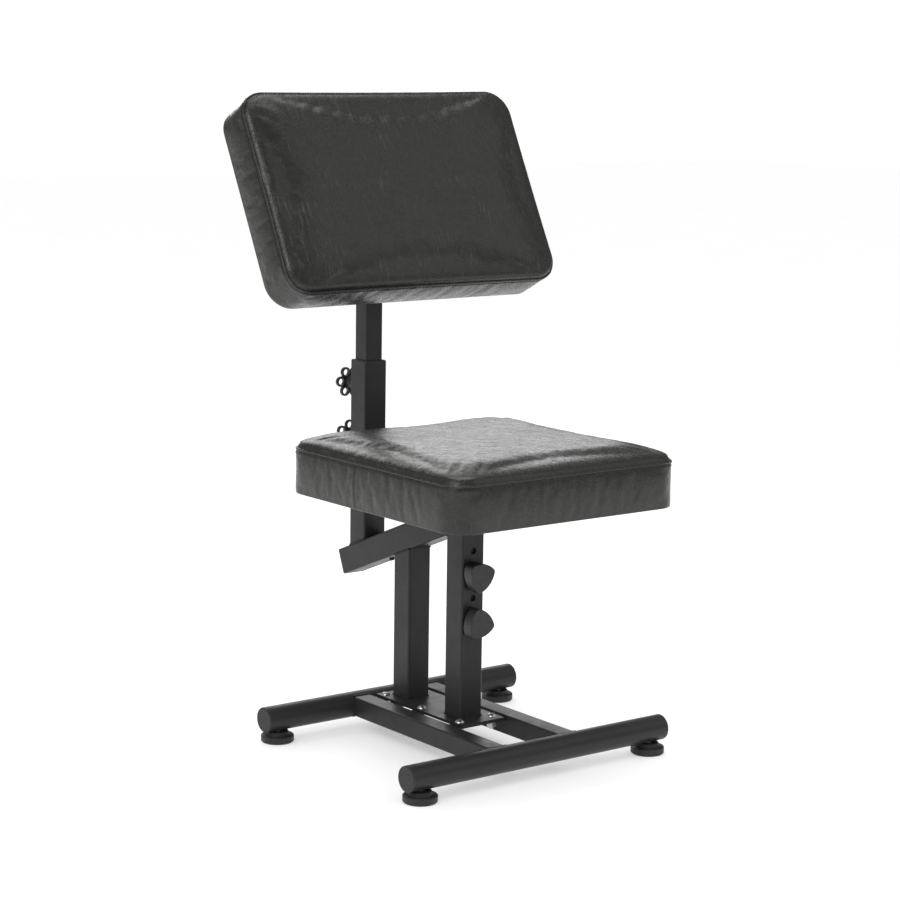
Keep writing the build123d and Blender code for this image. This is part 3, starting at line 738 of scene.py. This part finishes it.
def puckers(pad, p, amount):
    """Short gathers that run out from the seam, and shallow wrinkles over the panel."""
    across = min(pad.a - abs(p[0]), pad.b - abs(p[1]))
    on_top = p[2] > pad.seam + 1 * MM
    along = p[1] if pad.a - abs(p[0]) < pad.b - abs(p[1]) else p[0]
    depth = 0.0
    if on_top:
        wave = noise.noise(Vector((along * 75, across * 9, pad.a * 31)))
        depth += amount * 0.75 * MM * wave * math.exp(-max(across - 4 * MM, 0) / (26 * MM))
        spot = Vector((p[0] * 17 + 4.0, p[1] * 17, pad.b * 13))
        folds = noise.fractal(spot, 0.9, 2.1, 4)
        depth += amount * 0.9 * MM * folds * min(across / (40 * MM), 1)
        ridge = 1 - abs(noise.noise(Vector((p[0] * 24 + p[1] * 13, p[1] * 8 - p[0] * 5, 3.7 + pad.a))))
        depth += amount * 0.8 * MM * max(ridge - 0.86, 0) / 0.14 * min(across / (50 * MM), 1)
    elif p[2] > 2 * MM and p[2] < pad.seam - 2 * MM:
        wave = noise.noise(Vector((along * 60, p[2] * 16, 9.1 + pad.a)))
        depth += amount * 0.5 * MM * wave
    return depth


def near_seam(pad, p):
    """The valley each side of the welt along the top seam."""
    gap = abs(p[2] - pad.seam)
    edge = min(pad.a - abs(p[0]), pad.b - abs(p[1]))
    return -1.0 * MM * math.exp(-((gap / (2.2 * MM)) ** 2)) if edge < 12 * MM and p[2] > 10 * MM else 0.0


def join_seam(pad, p, f):
    """The upright join in each side of the seat's band."""
    if pad.name not in join_at or abs(f[0]) < 0.6 or p[2] > pad.seam - 1 * MM or p[2] < 2 * MM:
        return 0.0
    gap = p[1] - join_at[pad.name]
    return -1.1 * MM * math.exp(-((gap / (1.7 * MM)) ** 2)) + 0.5 * MM * math.exp(-(((gap - 4 * MM) / (2.6 * MM)) ** 2))


swell, waist, wrinkling = 1.8 * MM, 1.6 * MM, 0.5
stitch_pitch, stitch_length, stitch_r = 4.6 * MM, 3.6 * MM, 0.42 * MM
welt_r, welt_sides = 1.8 * MM, 10
seat_pad = Pad("seat", "seat", (1, 0, 0), (0, 1, 0), (0, 0, 1), 37 * MM, 65 * MM, swell, waist, 80 * MM)
back_pad = Pad("backrest", "backrest", (1, 0, 0), (0, math.sin(back_lean), math.cos(back_lean)),
               (0, -math.cos(back_lean), math.sin(back_lean)), 39 * MM, 60 * MM, swell, waist, 70 * MM)
for pad in (seat_pad, back_pad):
    pad.build()
    pad.pad_out(4.0, 0.006, 20, 6 * MM)
    band_row = pad.rings[1]
    pad.refine()
    pad.relief()
    seam_line, _ = pad.row(pad.seam_ring, 0.8 * MM)
    welt, _ = resample(seam_line, 2.0 * MM, True)
    points, faces = sweep(welt, [welt_r] * len(welt), welt_sides, True)
    piece(f"{pad.name}_welt", points, faces, finish["leatherette"], pad.body)
    line, out = pad.row(band_row, 0.1 * MM)
    stitches(f"{pad.name}_band_stitching", line, out, pad.body)
    line, out = pad.inner_row(1, 0.1 * MM)
    stitches(f"{pad.name}_panel_stitching", line, out, pad.body)


# ==== Dust covers and staples under the boards ====
cloth_corner = 24 * MM
staple_pitch, staple_inset = 38 * MM, 8 * MM
staple_half_crown, staple_r, staple_leg = 4.8 * MM, 0.45 * MM, 0.9 * MM
staple_sway = 0.22  # radians
ruck_depth, ruck_inset, ruck_spread = 0.22 * MM, 9 * MM, 8 * MM
cloth_unevenness = 0.12 * MM


def dust_cover(pad):
    """Bonded cloth pulled over the back of the board, puckered between its staples."""
    node = nodes[f"{pad.name}_dust_cloth"]
    flat = np.empty(len(node.data.vertices) * 3)
    node.data.vertices.foreach_get("co", flat)
    local = pad.local(flat.reshape(-1, 3))
    a, b = local[:, 0].max(), local[:, 1].max()
    thick = local[:, 2].max() - local[:, 2].min()
    half = 36
    rows = 2 * half + 1
    points, faces = [], []
    for side in (0, 1):
        for i in range(-half, half + 1):
            for j in range(-half, half + 1):
                share = max(abs(i), abs(j)) / half
                x, y = ring_point(i, j, a * share, b * share, cloth_corner * share)
                edge = min(a - abs(x), b - abs(y))
                along = y if a - abs(x) < b - abs(y) else x
                ruck = 0.5 + 0.5 * math.cos(2 * math.pi * along / staple_pitch)
                sag = ruck_depth * ruck * math.exp(-(((edge - ruck_inset) / ruck_spread) ** 2))
                sag += cloth_unevenness * (0.5 + 0.5 * noise.noise(Vector((x * 40, y * 40, 1.3))))
                points.append((x, y, -0.03 * MM if side else -thick * 0.55 - sag))
    total = rows * rows
    for i in range(rows - 1):
        for j in range(rows - 1):
            k = i * rows + j
            faces.append((k, k + 1, k + rows + 1, k + rows))
            faces.append((total + k, total + k + rows, total + k + rows + 1, total + k + 1))
    rim = [(i + half) * rows + j + half for i, j in edge_steps(half)]
    for k in range(len(rim)):
        here, there = rim[k], rim[(k + 1) % len(rim)]
        faces.append((here, total + here, total + there, there))
    made = piece(f"{pad.name}_dust_cover", pad.world(points), faces, finish["cambric"], pad.body)
    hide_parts(f"{pad.name}_dust_cloth")
    wires = []
    ring = [
        ring_point(i, j, a - staple_inset, b - staple_inset, cloth_corner - 6 * MM) + (0,)
        for i, j in edge_steps(half)
    ]
    spots, _ = resample(ring, staple_pitch, True)
    places = random.Random(11)
    for k in range(len(spots)):
        run = spots[(k + 1) % len(spots)] - spots[k - 1]
        turn = math.atan2(run[1], run[0]) + places.uniform(-staple_sway, staple_sway)
        way = np.array((math.cos(turn), math.sin(turn), 0)) * staple_half_crown
        inward = np.array((0, 0, 1))
        seat = spots[k] - inward * thick
        proud = inward * 0.25 * MM
        wires.append(pad.world([
            seat - way + inward * staple_leg, seat - way, seat - way * 0.8 - proud,
            seat + way * 0.8 - proud, seat + way, seat + way + inward * staple_leg,
        ]))
    bars(f"{pad.name}_staples", wires, staple_r, staple_metal, pad.body)


for pad in (seat_pad, back_pad):
    dust_cover(pad)


# ==== Studio ====
def area_light(name, place, target, size, power):
    lamp = bpy.data.lights.new(name, "AREA")
    lamp.shape, lamp.size, lamp.size_y = "RECTANGLE", size[0], size[1]
    lamp.energy = power
    made = bpy.data.objects.new(name, lamp)
    made.location = place
    made.rotation_mode = "QUATERNION"
    made.rotation_quaternion = (Vector(target) - Vector(place)).to_track_quat("-Z", "Y")
    bpy.context.scene.collection.objects.link(made)


floor_mesh = bpy.data.meshes.new("studio_floor")
floor_half = 14
corners = [(x * floor_half, y * floor_half, 0) for x, y in ((-1, -1), (1, -1), (1, 1), (-1, 1))]
floor_mesh.from_pydata(corners, [], [(0, 1, 2, 3)])
floor = bpy.data.objects.new("studio_floor", floor_mesh)
bpy.context.scene.collection.objects.link(floor)
paper = Shader("studio_paper", 0.9, specular=0.1)
paper.colour(paper.blend(paper.noise(3, 2), (0.53, 0.53, 0.53), (0.55, 0.55, 0.55)))
paper.bsdf.inputs["Emission Color"].default_value = (1, 1, 1, 1)
paper.bsdf.inputs["Emission Strength"].default_value = 0.42
floor_mesh.materials.append(paper.material)

world = bpy.data.worlds.new("studio")
bpy.context.scene.world = world
world.use_nodes = True
sky = world.node_tree
direction = sky.nodes.new("ShaderNodeTexCoord").outputs["Generated"]
parts = sky.nodes.new("ShaderNodeSeparateXYZ")
sky.links.new(direction, parts.inputs[0])
fade = sky.nodes.new("ShaderNodeMapRange")
sky.links.new(parts.outputs["X"], fade.inputs["Value"])
for key, number in zip(("From Min", "From Max", "To Min", "To Max"), (-0.9, 0.9, 0.36, 0.2)):
    fade.inputs[key].default_value = number
mirrored = sky.nodes.new("ShaderNodeLightPath").outputs["Is Glossy Ray"]
glow = sky.nodes.new("ShaderNodeMix")
sky.links.new(mirrored, glow.inputs[0])
sky.links.new(fade.outputs[0], glow.inputs[3])
glow.inputs[2].default_value = 1.07
sky.links.new(glow.outputs[0], sky.nodes["Background"].inputs["Strength"])
sky.nodes["Background"].inputs["Color"].default_value = (1, 1, 1, 1)

area_light("key", (-2.6, -0.9, 2.6), (0, 0, 0.5), (1.5, 1.5), 34)
area_light("fill", (2.0, -2.0, 2.6), (0, 0.15, 0.8), (2.6, 2.6), 13)
area_light("top", (0.3, 0.5, 3.2), (0, 0, 0.3), (2.0, 2.0), 34)
area_light("rim", (1.6, 3.0, 1.7), (0, 0, 0.6), (2.4, 1.2), 26)

# ==== Camera ====
azimuth, pitch, roll = (math.radians(a) for a in (-36.49, 9.43, 0.64))
back = Vector((math.sin(azimuth) * math.cos(pitch), -math.cos(azimuth) * math.cos(pitch), math.sin(pitch)))
right = Vector((0, 0, 1)).cross(back).normalized()
up = back.cross(right)
right, up = (math.cos(roll) * right + math.sin(roll) * up, math.cos(roll) * up - math.sin(roll) * right)
lens = bpy.data.cameras.new("camera")
lens.lens, lens.sensor_width = 97.1, 36
lens.shift_x, lens.shift_y = 0.0397, -0.0026
camera = bpy.data.objects.new("camera", lens)
frame_middle = (middle("front_cross_tube").y + middle("rear_cross_tube").y) / 2
spot = Vector((-2.14531, frame_middle - 2.77373, 1.03437))
camera.matrix_world = Matrix.Translation(spot) @ Matrix((right, up, back)).transposed().to_4x4()
bpy.context.scene.collection.objects.link(camera)
bpy.context.scene.camera = camera
bpy.context.scene.view_settings.view_transform = "Standard"
